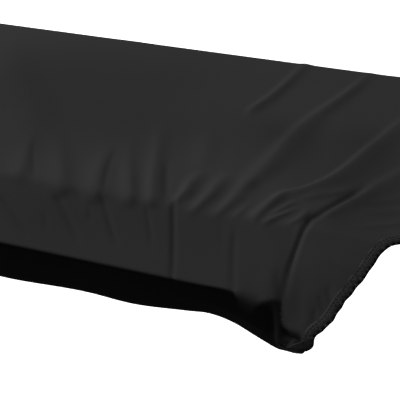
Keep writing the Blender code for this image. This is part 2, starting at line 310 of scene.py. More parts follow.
# Short ribs that the pull raises over the ridge
RIDGE_RIBS = (
    Fold(0, ((0.283, 0.001, 0.0004, 0.005, 0.005), (0.287, 0.009, 0.0025, 0.0056, 0.006),
             (0.289, 0.022, 0.0034, 0.006, 0.009), (0.289, 0.038, 0.0028, 0.0066, 0.009),
             (0.294, 0.065, 0, 0.007, 0.008))),
    fold(-0.0007, 0.0026, 0.0032, (0.288, 0.002), (0.289, 0.008), (0.291, 0.023), shade=0.1),
    Fold(0, ((0.305, -0.002, 0.0008, 0.005, 0.005), (0.310, 0.007, 0.0023, 0.006, 0.006),
             (0.315, 0.025, 0.0029, 0.0074, 0.008), (0.318, 0.048, 0.0020, 0.008, 0.009),
             (0.328, 0.067, 0, 0.008, 0.008))),
    Fold(0, ((0.331, -0.001, 0.0008, 0.005, 0.005), (0.336, 0.009, 0.0021, 0.006, 0.006),
             (0.341, 0.027, 0.0028, 0.0068, 0.009), (0.345, 0.050, 0.0016, 0.007, 0.010),
             (0.353, 0.065, 0, 0.007, 0.008))),
    fold(0.0009, 0.0036, 0.0036, (0.347, -0.006), (0.354, 0.008), (0.361, 0.028)),
    fold(0.0018, 0.0033, 0.0033, (0.377, -0.005), (0.386, 0.002), (0.397, 0.013), (0.408, 0.028)),
    fold(0.0015, 0.0032, 0.0032, (0.380, 0.004), (0.389, 0.015), (0.398, 0.029), (0.405, 0.038)),
    fold(0.0013, 0.0036, 0.0030, (0.401, 0.000), (0.410, 0.005), (0.416, 0.017), (0.419, 0.032)),
)

# Soft waves that stand on the ridge and die out towards the back
SPAN_WAVES = (
    fold(0.0016, 0.012, 0.008, (0.105, -0.010), (0.104, 0.006), (0.095, 0.035), (0.077, 0.082)),
    fold(-0.0005, 0.003, 0.003, (0.128, -0.005), (0.118, 0.010), (0.097, 0.048), (0.092, 0.064),
         shade=0.06),
    fold(0.0019, 0.013, 0.010, (0.163, -0.015), (0.158, -0.004), (0.140, 0.032), (0.104, 0.091)),
    fold(0.0020, 0.011, 0.010, (0.201, -0.015), (0.197, -0.003), (0.185, 0.035), (0.174, 0.081)),
    fold(-0.0006, 0.0032, 0.0032, (0.207, -0.004), (0.200, 0.015), (0.190, 0.052), (0.188, 0.074),
         shade=0.06),
    fold(0.0019, 0.009, 0.007, (0.239, -0.012), (0.236, -0.001), (0.222, 0.030), (0.194, 0.091)),
    Fold(0, ((0.261, -0.008, 0, 0.007, 0.009), (0.259, 0.003, 0.0022, 0.007, 0.0095),
             (0.247, 0.035, 0.0025, 0.007, 0.010), (0.233, 0.082, 0.0016, 0.0085, 0.010),
             (0.223, 0.126, 0, 0.010, 0.010))),
    fold(-0.0008, 0.004, 0.004, (0.276, -0.002), (0.268, 0.018), (0.257, 0.047), (0.247, 0.071),
         shade=0.12),
    fold(0.0010, 0.012, 0.012, (0.294, 0.060), (0.289, 0.078), (0.284, 0.100), (0.279, 0.128)),
)

# Sharp little creases down the sloping front
FRONT_CREASES = (
    fold(-0.0010, 0.0026, 0.0026, (0.081, -0.019), (0.098, -0.032), (0.128, -0.056), (0.143, -0.066),
         shade=0.12),
    fold(-0.0006, 0.0024, 0.0024, (0.142, -0.030), (0.152, -0.044), (0.162, -0.059), shade=0.08),
    fold(-0.0011, 0.0027, 0.0027, (0.145, -0.007), (0.160, -0.021), (0.184, -0.046), (0.200, -0.062),
         shade=0.12),
    fold(-0.0007, 0.0022, 0.0022, (0.169, 0.000), (0.180, -0.011), (0.189, -0.022), shade=0.08),
    fold(-0.0006, 0.0022, 0.0022, (0.193, -0.021), (0.198, -0.029), (0.203, -0.038), shade=0.08),
    fold(-0.0010, 0.0025, 0.0025, (0.199, -0.001), (0.210, -0.014), (0.230, -0.044), (0.240, -0.056),
         shade=0.12),
    fold(-0.0007, 0.0022, 0.0022, (0.253, -0.003), (0.260, -0.017), (0.270, -0.038), (0.277, -0.051),
         shade=0.08),
    fold(-0.0013, 0.0027, 0.0027, (0.281, 0.005), (0.284, -0.003), (0.297, -0.047), (0.307, -0.083),
         shade=0.22, end=0.6),
    fold(-0.0003, 0.0032, 0.0032, (0.337, -0.004), (0.342, -0.021), (0.347, -0.039)),
    fold(-0.0008, 0.0030, 0.0030, (0.352, -0.011), (0.356, -0.028), (0.362, -0.054), (0.368, -0.074),
         shade=0.06, end=1),
)

# Fine ripples of the loose corner, towards its hem
END_RIPPLES = (
    fold(0.0007, 0.006, 0.005, (0.464, 0.036), (0.479, 0.043), (0.506, 0.053), end=1),
    fold(0.0007, 0.004, 0.004, (0.465, 0.015), (0.480, 0.019), (0.505, 0.032), end=1),
    fold(0.0006, 0.005, 0.005, (0.465, 0.050), (0.480, 0.058), (0.501, 0.071), end=0.8),
    fold(0.0006, 0.0035, 0.0035, (0.459, 0.000), (0.472, -0.008), (0.486, -0.015), end=0.8),
    fold(0.0006, 0.0035, 0.0035, (0.469, 0.008), (0.482, -0.002), (0.495, -0.008), end=0.8),
    fold(0.0005, 0.0035, 0.0035, (0.461, -0.026), (0.472, -0.033), (0.483, -0.039), end=1),
    fold(0.0006, 0.0035, 0.0035, (0.436, -0.058), (0.440, -0.073), (0.445, -0.090), end=0.8),
    fold(-0.0008, 0.0026, 0.0026, (0.447, -0.056), (0.452, -0.068), (0.457, -0.079), (0.458, -0.086),
         shade=0.3),
    fold(-0.0008, 0.0026, 0.0026, (0.454, -0.051), (0.459, -0.063), (0.464, -0.074), shade=0.3, end=0.9),
    fold(-0.0007, 0.0024, 0.0024, (0.447, -0.073), (0.450, -0.083), (0.452, -0.096), shade=0.35, end=0.7),
    fold(0.0006, 0.003, 0.003, (0.461, -0.054), (0.467, -0.060), (0.472, -0.065), end=1),
)

# The hollow under the loose corner, and the gathers below it, with painted shade in the hollow and the
# grooves
CORNER_GATHERS = (
    fold(-0.0034, 0.0034, 0.0034, (0.424, -0.099), (0.429, -0.105), (0.438, -0.107), (0.445, -0.105),
         shade=0.95, start=0.3),
    fold(-0.0008, 0.0020, 0.0020, (0.433, -0.108), (0.433, -0.112), (0.428, -0.119), shade=0.3, end=1),
    fold(0.0009, 0.0022, 0.0022, (0.438, -0.106), (0.438, -0.111), (0.433, -0.118), end=1),
    fold(-0.0008, 0.0020, 0.0020, (0.443, -0.105), (0.443, -0.109), (0.444, -0.116), shade=0.3, end=1),
    fold(0.0008, 0.0022, 0.0022, (0.448, -0.102), (0.448, -0.107), (0.448, -0.114), end=1),
)

# The soft bag of the loose corner
CORNER_BAG = (
    Fold(0, ((0.423, -0.043, 0.0012, 0.026, 0.030), (0.440, -0.036, 0.0032, 0.030, 0.032),
             (0.465, -0.031, 0.0048, 0.030, 0.034), (0.494, -0.029, 0.0056, 0.030, 0.034))),
)

# Painted shade without any height, where the cloth starts to turn under beside the loose corner
SOFT_SHADES = (
    fold(0, 0.007, 0.007, (0.371, -0.078), (0.380, -0.081), (0.389, -0.080), (0.398, -0.078), shade=0.34),
    fold(0, 0.0040, 0.0034, (0.401, -0.043), (0.405, -0.055), (0.409, -0.066), (0.413, -0.076),
         shade=0.26),
)

# Soft folds of the parts that the photo doesn't show
UNSEEN_FOLDS = (
    fold(0.0034, 0.018, 0.026, (-0.645, 0.000), (-0.590, 0.070), (-0.500, 0.180), (-0.410, 0.300)),
    fold(0.0032, 0.018, 0.025, (-0.610, -0.010), (-0.530, 0.055), (-0.430, 0.140), (-0.320, 0.260)),
    fold(0.0024, 0.020, 0.026, (-0.440, -0.006), (-0.370, 0.080), (-0.280, 0.180), (-0.210, 0.270)),
    fold(0.0022, 0.024, 0.030, (-0.060, 0.270), (-0.010, 0.198), (0.070, 0.100), (0.130, 0.020)),
    fold(0.0014, 0.020, 0.020, (-0.230, -0.008), (-0.224, 0.030), (-0.206, 0.100)),
    fold(0.0012, 0.014, 0.014, (-0.030, -0.008), (-0.024, 0.030), (-0.006, 0.100)),
    fold(-0.0016, 0.022, 0.022, (-0.545, 0.000), (-0.530, -0.030), (-0.512, -0.078)),
    fold(-0.0014, 0.022, 0.022, (-0.335, 0.000), (-0.318, -0.030), (-0.300, -0.078)),
    fold(-0.0014, 0.016, 0.016, (-0.140, 0.000), (-0.124, -0.030), (-0.104, -0.078)),
    fold(0.0020, 0.013, 0.015, (0.470, 0.300), (0.450, 0.345), (0.415, 0.440), (0.400, 0.470)),
    fold(0.0020, 0.013, 0.015, (0.600, 0.290), (0.575, 0.345), (0.520, 0.440), (0.500, 0.470)),
    fold(0.0020, 0.024, 0.024, (0.120, 0.300), (0.100, 0.370), (0.080, 0.450)),
    fold(0.0022, 0.024, 0.024, (-0.330, 0.300), (-0.350, 0.370), (-0.370, 0.450)),
)

FOLDS = (PULL_FOLDS + CORNER_GROOVE + RIDGE_RIBS + SPAN_WAVES + FRONT_CREASES + END_RIPPLES
         + CORNER_GATHERS + CORNER_BAG + SOFT_SHADES + UNSEEN_FOLDS)


class CoverSizes(bpy.types.PropertyGroup):
    """Sizes of the cover's cloth, hem and stitching."""

    cloth_thickness: FloatProperty(
        name="Cloth thickness", description="Thickness of the stretch knit",
        default=0.0018, min=0.0008, max=0.003, subtype="DISTANCE", unit="LENGTH")
    fold_depth: FloatProperty(
        name="Fold depth", description="How strongly the folds stand, as a share of their measured height",
        default=1.0, min=0.0, max=1.5, subtype="FACTOR")
    hem_width: FloatProperty(
        name="Hem width", description="Width of the hem that holds the elastic",
        default=0.011, min=0.006, max=0.02, subtype="DISTANCE", unit="LENGTH")
    hem_swell: FloatProperty(
        name="Hem swell", description="How far the hem stands proud of the cloth on each side",
        default=0.0011, min=0.0004, max=0.003, subtype="DISTANCE", unit="LENGTH")
    gather_spacing: FloatProperty(
        name="Gather spacing", description="Distance from one little gather of the hem to the next",
        default=0.0058, min=0.003, max=0.02, subtype="DISTANCE", unit="LENGTH")
    gather_depth: FloatProperty(
        name="Gather depth", description="Depth of the hem's little gathers",
        default=0.0007, min=0.0, max=0.002, subtype="DISTANCE", unit="LENGTH")
    stitch_length: FloatProperty(
        name="Stitch length", description="Length of one stitch of the hem",
        default=0.0030, min=0.002, max=0.008, subtype="DISTANCE", unit="LENGTH")
    thread_width: FloatProperty(
        name="Thread width", description="Width of the sewing thread",
        default=0.0005, min=0.0003, max=0.0015, subtype="DISTANCE", unit="LENGTH")
    stitch_rows_apart: FloatProperty(
        name="Distance between stitch rows", description="Distance between the two rows of stitches",
        default=0.0032, min=0.001, max=0.008, subtype="DISTANCE", unit="LENGTH")
    knit_gauge: FloatProperty(
        name="Knit gauge", description="Width of one wale of the knit",
        default=0.0012, min=0.0006, max=0.004, subtype="DISTANCE", unit="LENGTH")
    seed: IntProperty(name="Seed", description="Start of the stitches' unevenness", default=7, min=0)


class CoverColours(bpy.types.PropertyGroup):
    """Colours of the cover and of the studio."""

    cloth: FloatVectorProperty(
        name="Cloth", description="Colour of the black stretch knit", subtype="COLOR", size=4,
        default=(0.0255, 0.0255, 0.0262, 1.0), min=0.0, max=1.0)
    # Painted shade: this near-black stands for the shade on the cloth where it turns under the body
    painted_shade_band: FloatVectorProperty(
        name="Turned-under band", description="Colour of the deep black band that turns under the body",
        subtype="COLOR", size=4, default=(0.0024, 0.0024, 0.0026, 1.0), min=0.0, max=1.0)
    thread: FloatVectorProperty(
        name="Thread", description="Colour of the sewing thread", subtype="COLOR", size=4,
        default=(0.021, 0.021, 0.022, 1.0), min=0.0, max=1.0)
    floor: FloatVectorProperty(
        name="Floor", description="Colour of the studio floor", subtype="COLOR", size=4,
        default=(0.96, 0.96, 0.96, 1.0), min=0.0, max=1.0)


def smooth_step(value):
    """0 below 0, 1 above 1, and an S in between."""
    value = np.clip(value, 0, 1)
    return value * value * (3 - 2 * value)


def smooth_through(places, values, at):
    """A smooth curve through values, which are given at rising places, read where at says."""
    places = np.asarray(places, float)
    values = np.asarray(values, float)
    slopes = np.gradient(values, places)
    at = np.clip(at, places[0], places[-1])
    k = np.clip(np.searchsorted(places, at) - 1, 0, len(places) - 2)
    gap = places[k + 1] - places[k]
    t = (at - places[k]) / gap
    near = values[k] * (1 + 2 * t) * (1 - t) ** 2 + slopes[k] * gap * t * (1 - t) ** 2
    far = values[k + 1] * t**2 * (3 - 2 * t) + slopes[k + 1] * gap * t**2 * (t - 1)
    return near + far


def unit(vectors):
    """The vectors at length 1."""
    return vectors / np.maximum(np.linalg.norm(vectors, axis=-1, keepdims=True), 1e-12)


def row_plan():
    """Each row of points: whether it lies on a run or in a bend, from which station, and how far along."""
    plan = [("run", 0, 0.0)]
    for k, station in enumerate(STATIONS[:-1]):
        plan += [("run", k, step / station.run_steps) for step in range(1, station.run_steps + 1)]
        steps = STATIONS[k + 1].bend_steps
        plan += [("bend", k + 1, step / steps) for step in range(1, steps + 1)]
    return plan


def section_corners(x):
    """The corners of the sections at x, as y and z, from the back hem to the front hem, and their bends."""
    places, *columns = zip(*FRONT_HALF)
    *front, front_bend = [smooth_through(places, column, x) for column in columns]
    corners = np.empty((len(x), len(STATIONS), 2))
    corners[:, :4] = BACK_HALF
    corners[:, 4:8] = np.stack(front, axis=1).reshape(len(x), 4, 2)
    corners[:, 8] = corners[:, 7] + (HEM_TUCK, HEM_RISE)
    bends = np.tile([float(station.bend) for station in STATIONS], (len(x), 1))
    bends[:, FRONT_STATION] = front_bend
    return corners, bends


def row_points(place, x):
    """Where one row of the plan lies on the sections at x, as y and z."""
    kind, k, t = place
    corners, bends = section_corners(x)
    if kind == "run":
        run = unit(corners[:, k + 1] - corners[:, k])
        start = corners[:, k] + run * bends[:, k, None]
        end = corners[:, k + 1] - run * bends[:, k + 1, None]
        return start + (end - start) * t
    before = unit(corners[:, k] - corners[:, k - 1])
    after = unit(corners[:, k + 1] - corners[:, k])
    end = corners[:, k] - before * bends[:, k, None]
    leave = corners[:, k] + after * bends[:, k, None]
    return (1 - t) ** 2 * end + 2 * t * (1 - t) * corners[:, k] + t**2 * leave


def row_of(name):
    """The row in the middle of a station's bend."""
    row = 0
    for station in STATIONS:
        if station.name == name:
            return row + station.bend_steps // 2
        row += station.bend_steps + station.run_steps
    raise ValueError(name)


def across_of_rows():
    """Each row's distance over the cloth behind the ridge, on a plain section."""
    points = np.concatenate([row_points(place, np.zeros(1)) for place in row_plan()])
    steps = np.linalg.norm(np.diff(points, axis=0), axis=1)
    travelled = np.concatenate([[0], np.cumsum(steps)])
    return travelled[row_of("ridge")] - travelled


def column_places(across):
    """x of every column and row: the columns lean with their lines, and the last lies on the hem."""
    order = HEM_END[::-1]
    hem = smooth_through([end.across for end in order], [end.x for end in order], across)
    lines = [line.x + line.lean * np.clip(across, 0, None) for line in COLUMN_LINES] + [hem]
    columns = []
    for k, line in enumerate(COLUMN_LINES):
        for step in range(line.columns):
            columns.append(lines[k] + (lines[k + 1] - lines[k]) * step / line.columns)
    return np.stack(columns + [hem], axis=1)


def fold_shape(fold, x, across):
    """How far one fold lifts the cloth at these places, and how much painted shade it lays on the cloth's
    colour.
    """
    knots = np.array(fold.points)
    spots = np.linspace(0, 1, len(knots))
    fine = np.linspace(0, 1, CURVE_STEPS * (len(knots) - 1) + 1)
    line = np.stack([smooth_through(spots, knots[:, c], fine) for c in (0, 1)], axis=1)
    reach = FOLD_REACH * knots[:, 3:].max()
    low, high = line.min(axis=0) - reach, line.max(axis=0) + reach
    near = (x > low[0]) & (x < high[0]) & (across > low[1]) & (across < high[1])
    px, pa = x[near], across[near]
    nearest = np.full(px.shape, np.inf)
    side = np.zeros(px.shape)
    along = np.zeros(px.shape)
    for k in range(len(line) - 1):
        a, run = line[k], line[k + 1] - line[k]
        t = np.clip(((px - a[0]) * run[0] + (pa - a[1]) * run[1]) / (run @ run), 0, 1)
        dx, da = px - a[0] - t * run[0], pa - a[1] - t * run[1]
        distance = np.hypot(dx, da)
        closer = distance < nearest
        nearest = np.where(closer, distance, nearest)
        side = np.where(closer, dx * run[1] - da * run[0], side)
        along = np.where(closer, (k + t) / (len(line) - 1), along)
    height, rise, fall = [np.interp(along, spots, knots[:, c]) for c in (2, 3, 4)]
    crest = np.exp(-((nearest / np.where(side > 0, fall, rise)) ** 2))
    lift, shade = np.zeros(x.shape), np.zeros(x.shape)
    lift[near] = height * crest
    shade[near] = fold.shade * crest * smooth_step(4 * along) * smooth_step(4 - 4 * along)
    return lift, shade


def sag_between(rows, start, end, depth):
    """A shallow hollow in the run between two stations, deepest halfway."""
    middle = (rows - row_of(start)) / (row_of(end) - row_of(start))
    inside = (middle > 0) & (middle < 1)
    return np.where(inside, -depth * np.sin(np.pi * np.clip(middle, 0, 1)) ** 2, 0)


def gather_wave(run, spacing):
    """An uneven wave along the hem, between -1 and 1."""
    drift = 1.7 * np.sin(run / spacing * 0.83 + 0.4) + 1.1 * np.sin(run / spacing * 0.29 + 2.1)
    swell = 0.72 + 0.28 * np.sin(run / spacing * 0.47 + 1.3)
    return swell * np.sin(2 * np.pi * run / spacing + drift)


def cloth_distance(yz):
    """How far over the cloth each point lies behind the ridge, and less than nothing before it."""
    steps = np.linalg.norm(np.diff(yz, axis=0), axis=2)
    travelled = np.concatenate([np.zeros((1, yz.shape[1])), np.cumsum(steps, axis=0)])
    return travelled[row_of("ridge")] - travelled


def outer_face(sizes):
    """The outer face by row and column: its points, how far behind the ridge they lie, and the painted shade
    of their folds.
    """
    across = across_of_rows()
    x = column_places(across)
    yz = np.stack([row_points(place, x[row]) for row, place in enumerate(row_plan())])
    over = cloth_distance(yz)
    shapes = [fold_shape(fold, x, over) for fold in FOLDS]
    lift = sizes.fold_depth * sum(lift for lift, shade in shapes)
    shade = 1 - np.prod([1 - shade for lift, shade in shapes], axis=0)
    rows = np.arange(len(across))
    lift += sag_between(rows, "top_front", "ridge", SPAN_SAG)[:, None]
    lift += sag_between(rows, "ridge", "front", FRONT_SAG)[:, None]
    lift += hem_pull(x, over)
    outward = unit(np.gradient(yz, axis=0))
    outward = np.stack([outward[..., 1], -outward[..., 0]], axis=2)
    yz += outward * lift[..., None]
    return np.concatenate([x[..., None], yz], axis=2), over, shade


def hem_pull(x, over):
    """The pleats that run into the cloth from the hem at the right end."""
    from_hem = x[:, -1:] - x
    wave = gather_wave(over, PLEAT_SPACING)
    return PLEAT_HEIGHT * wave * np.exp(-from_hem / PLEAT_REACH)


def tuck_left_end(points):
    """Draws the hem rows at the left end inwards, so that the closed end can tuck under too."""
    beyond_back = row_of("back_foot") - np.arange(len(points))
    beyond_front = np.arange(len(points)) - row_of("front_foot")
    reach = np.maximum(beyond_back / row_of("back_foot"),
                       beyond_front / (len(points) - 1 - row_of("front_foot")))
    near_end = 1 - smooth_step((points[..., 0] - LEFT_END) / TUCK_REACH)
    points[..., 0] += HEM_TUCK * smooth_step(reach)[:, None] * near_end
    return points


def closed_end(points):
    """The left end's wall, as points down from the top's edge and from the front to the back."""
    edge = points[:, 0]
    top = edge[row_of("back_top"):row_of("ridge") + 1][::-1]
    front = edge[row_of("ridge"):]
    back = edge[:row_of("back_top") + 1][::-1]
    a = (top[:, 1] - top[0, 1]) / (top[-1, 1] - top[0, 1])
    b = np.linspace(0, 1, len(front))
    foot = front[-1] + (back[-1] - front[-1]) * a[:, None]
    down = top[None] * (1 - b)[:, None, None] + foot[None] * b[:, None, None]
    over = front[:, None] * (1 - a)[None, :, None] + back[:, None] * a[None, :, None]
    flat_top = top[0] * (1 - a)[:, None] + top[-1] * a[:, None]
    plain = flat_top[None] * (1 - b)[:, None, None] + foot[None] * b[:, None, None]
    return down + over - plain


def cover_grid(sizes):
    """Points of the whole outer face, the grids of their numbers, and what the material reads of each."""
    points, over, shade = outer_face(sizes)
    points = tuck_left_end(points)
    wall = closed_end(points)
    count = points.shape[0] * points.shape[1]
    main = np.arange(count).reshape(points.shape[:2])
    side = np.arange(wall.shape[0] * wall.shape[1]).reshape(wall.shape[:2]) + count
    side[0] = main[row_of("back_top"):row_of("ridge") + 1, 0][::-1]
    side[:, 0] = main[row_of("ridge"):, 0]
    side[:, -1] = main[:row_of("back_top") + 1, 0][::-1]
    positions = np.concatenate([points.reshape(-1, 3), wall.reshape(-1, 3)]) - ORIGIN
    knit = np.concatenate([
        np.stack([points[..., 0], over], axis=2).reshape(-1, 2), wall[..., 1:].reshape(-1, 2)])
    main_looks = hem_run(points, over)
    # The third value becomes painted shade: where the cloth turns under, together with the folds' painted
    # shade
    main_looks[..., 2] = 1 - (1 - main_looks[..., 2]) * (1 - shade)
    looks = np.concatenate([main_looks.reshape(-1, 3), wall_run(wall).reshape(-1, 3)])
    painted_tones = np.concatenate([patchiness(points[..., 0], over).ravel(), np.ones(wall[..., 0].size)])
    return positions, main, side, knit, looks, painted_tones


def hem_run(points, over):
    """For each point: its way along the nearest hem, its distance from it, and the painted shade where it is
    turned under.
    """
    steps = np.linalg.norm(np.diff(points, axis=0), axis=2)
    from_back = np.concatenate([np.zeros((1, steps.shape[1])), np.cumsum(steps, axis=0)])
    from_front = from_back[-1:] - from_back
    steps = np.linalg.norm(np.diff(points, axis=1), axis=2)
    from_left = np.concatenate([np.zeros((steps.shape[0], 1)), np.cumsum(steps, axis=1)], axis=1)
    from_right = from_left[:, -1:] - from_left
    x = points[..., 0]
    away = np.stack([from_back, from_front, from_right])
    run = np.stack([x, -x, 1.7 * over])
    nearest = away.argmin(axis=0)
    return np.stack([np.take_along_axis(run, nearest[None], 0)[0], away.min(axis=0),
                     painted_under_shade(x, over)], axis=2)


def patchiness(x, over):
    """Painted light and shade at each point, as a factor on the cloth's colour, where 1 is its plain colour.
    """
    change = [patch.change * np.exp(-((x - patch.x) / patch.reach_x) ** 2
                                    - ((over - patch.over) / patch.reach_over) ** 2) for patch in PAINTED_LIGHT_PATCHES]
    return 1 + sum(change)


def painted_under_shade(x, over):
    """Painted shade where the cloth turns under: 0 on the open cloth, up to 1 past the front edge, and 1 past
    the back foot.
    """
    places, *columns = zip(*UNDER_SHADE_BAND)
    start, fade, depth = [np.interp(x, places, column) for column in columns]
    front = depth * smooth_step((start - over) / fade)
    foot = over[row_of("back_foot")]
    return np.maximum(front, smooth_step((over - foot) / 0.01))


def wall_run(wall):
    """The same three values on the closed end's wall."""
    steps = np.linalg.norm(np.diff(wall, axis=0), axis=2)
    down = np.concatenate([np.zeros((1, steps.shape[1])), np.cumsum(steps, axis=0)])
    away = down[-1:] - down
    # Painted shade where the wall tucks under the body
    under = smooth_step((HEM_TUCK - away) / 0.01)
    return np.stack([wall[..., 1], away, under], axis=2)


def quads(numbers, flip):
    """The faces of a grid of point numbers."""
    ring = [numbers[:-1, :-1], numbers[1:, :-1], numbers[1:, 1:], numbers[:-1, 1:]]
    return np.stack(ring[::-1] if flip else ring, axis=2).reshape(-1, 4)


def new_object(name, positions, faces, material):
    """A smooth mesh object of quads, with one material."""
    used, faces = np.unique(faces, return_inverse=True)
    data = bpy.data.meshes.new(name)
    data.from_pydata(positions[used].tolist(), [], faces.reshape(-1, 4).tolist())
    data.materials.append(material)
    data.shade_smooth()
    thing = bpy.data.objects.new(name, data)
    bpy.context.scene.collection.objects.link(thing)
    return thing, used


def hem_loop(positions, main, side):
    """The hem's closed line in order, and at each of its points the way into the cloth and outwards."""
    parts = [(main[0], main[1]), (main[:, -1], main[:, -2]), (main[-1, ::-1], main[-2, ::-1]),
             (side[-1], side[-2])]
    line = np.concatenate([positions[edge][:-1] for edge, inner in parts])
    inward = unit(np.concatenate([(positions[inner] - positions[edge])[:-1] for edge, inner in parts]))
    ahead = unit(np.roll(line, -1, axis=0) - np.roll(line, 1, axis=0))
    outward = unit(np.cross(inward, ahead))
    return line, inward, outward


def evenly(line, values, spacing):
    """A closed line and the values on it, read at even steps."""
    closed = np.concatenate([line, line[:1]])
    travelled = np.concatenate([[0], np.cumsum(np.linalg.norm(np.diff(closed, axis=0), axis=1))])
    count = int(round(travelled[-1] / spacing))
    at = np.linspace(0, travelled[-1], count, endpoint=False)
    result = []
    for value in [line] + values:
        value = np.concatenate([value, value[:1]])
        result.append(np.stack([np.interp(at, travelled, value[:, c]) for c in range(3)], axis=1))
    return at, result


def eased(values, steps):
    """The values of a closed line, averaged over their neighbours."""
    total = sum(np.roll(values, shift, axis=0) for shift in range(-steps, steps + 1))
    return total / (2 * steps + 1)


def hem_frame(sizes):
    """The hem's line at even steps, with how far along it each step lies and the ways into the cloth and
    outwards there.
    """
    positions, main, side, knit, looks, painted_tones = cover_grid(sizes)
    line, inward, outward = hem_loop(positions, main, side)
    at, (line, inward, outward) = evenly(line, [inward, outward], HEM_STEP)
    line = eased(line, 1)
    ahead = unit(np.roll(line, -1, axis=0) - np.roll(line, 1, axis=0))
    outward = unit(eased(outward, HEM_EASE))
    outward = unit(outward - ahead * np.sum(outward * ahead, axis=1, keepdims=True))
    inward = np.cross(ahead, outward)
    return at, line, inward, outward


def open_part(line):
    """1 where the hem lies in the open, at the right end, and 0 where it is tucked under."""
    upper = smooth_step((line[:, 2:] + ORIGIN[2] - OPEN_ABOVE) / OPEN_ABOVE_REACH)
    corner = smooth_step((-OPEN_BEFORE - line[:, 1:2] - ORIGIN[1]) / OPEN_BEFORE_REACH)
    return np.maximum(upper, corner)


def hem_ring(sizes, at, line, inward, outward):
    """The hem's cross sections, one by one: a flat casing around the cloth's edge, gathered along it."""
    turn = 2 * np.pi * np.arange(HEM_SIDES) / HEM_SIDES
    wide = np.sign(np.cos(turn)) * np.abs(np.cos(turn)) ** HEM_ROUNDNESS
    thick = np.sign(np.sin(turn)) * np.abs(np.sin(turn)) ** HEM_ROUNDNESS
    fine = gather_wave(at, sizes.gather_spacing)[:, None]
    broad = gather_wave(at, BROAD_GATHERS * sizes.gather_spacing)[:, None]
    half_width = sizes.hem_width / 2
    half_thick = sizes.cloth_thickness / 2
    proud = sizes.hem_swell * (1 - HEM_FLATTENING * open_part(line))
    settled = 1 - open_part(line) * smooth_step(wide + 0.2)[None]
    edge = (1 - wide)[None] / 2
    into = half_width * (1 + wide)[None] - EDGE_WANDER * (1 + 0.8 * broad) * edge
    lift = half_thick * (thick - 1)[None]
    lift = lift + settled * (proud * (1 + BROAD_SWELL * broad) + sizes.gather_depth * fine) * thick[None]
    return line[:, None] + inward[:, None] * into[..., None] + outward[:, None] * lift[..., None]


class Socket:
    """A socket of a shader, so that its maths can be written as plain arithmetic."""

    def __init__(self, shader, socket):
        self.shader = shader
        self.socket = socket

    def maths(self, operation, *values):
        return self.shader.node("ShaderNodeMath", {"operation": operation}, *values)

    def __add__(self, other):
        return self.maths("ADD", self, other)

    def __radd__(self, other):
        return self.maths("ADD", other, self)

    def __sub__(self, other):
        return self.maths("SUBTRACT", self, other)

    def __rsub__(self, other):
        return self.maths("SUBTRACT", other, self)

    def __mul__(self, other):
        return self.maths("MULTIPLY", self, other)

    def __rmul__(self, other):
        return self.maths("MULTIPLY", other, self)

    def __truediv__(self, other):
        return self.maths("DIVIDE", self, other)

    def __rtruediv__(self, other):
        return self.maths("DIVIDE", other, self)

    def sine(self):
        return self.maths("SINE", self)

    def size(self):
        return self.maths("ABSOLUTE", self)

    def power_of(self, base):
        return self.maths("POWER", base, self)


class Shader:
    """A new material and its nodes."""

    def __init__(self, name):
        self.material = bpy.data.materials.new(name)
        self.material.use_nodes = True
        self.tree = self.material.node_tree
        self.surface = self.tree.nodes["Principled BSDF"]

    def node(self, kind, settings, *values, output=0, **named):
        """Adds a node, with its settings first and then the values or links of its sockets."""
        made = self.tree.nodes.new(kind)
        for key, value in settings.items():
            setattr(made, key, value)
        for key, value in list(enumerate(values)) + list(named.items()):
            socket = made.inputs[key] if isinstance(key, int) else made.inputs[key.replace("_", " ")]
            self.fill(socket, value)
        return Socket(self, made.outputs[output])

    def noise(self, place, scale, detail=1.0):
        """Noise of this scale and detail."""
        return self.node("ShaderNodeTexNoise", {}, Vector=place, Scale=scale, Detail=detail)

    def parts(self, vector, count):
        """The first parts of a vector."""
        return [self.node("ShaderNodeSeparateXYZ", {}, vector, output=k) for k in range(count)]

    def scaled(self, colour, tone):
        """A colour made lighter or darker."""
        return self.node("ShaderNodeVectorMath", {"operation": "SCALE"}, colour, Scale=tone)

    def bump(self, height):
        """Shading of a surface of this height."""
        return self.node("ShaderNodeBump", {}, Height=height, Distance=1.0, Strength=1.0)

    def fill(self, socket, value):
        """Links a socket or sets its value."""
        if isinstance(value, Socket):
            self.tree.links.new(value.socket, socket)
        else:
            socket.default_value = value

    def blend(self, share, first, second):
        """A mix of two colours, by a share of the second."""
        made = self.tree.nodes.new("ShaderNodeMix")
        made.data_type = "RGBA"
        self.fill(made.inputs[0], share)
        self.fill(made.inputs[6], first)
        self.fill(made.inputs[7], second)
        return Socket(self, made.outputs[2])

    def finish(self, constants, links):
        """Sets what is the same all over and links what changes."""
        for name, value in constants.items():
            self.surface.inputs[name].default_value = value
        for name, value in links.items():
            self.tree.links.new(value.socket, self.surface.inputs[name])
        return self.material


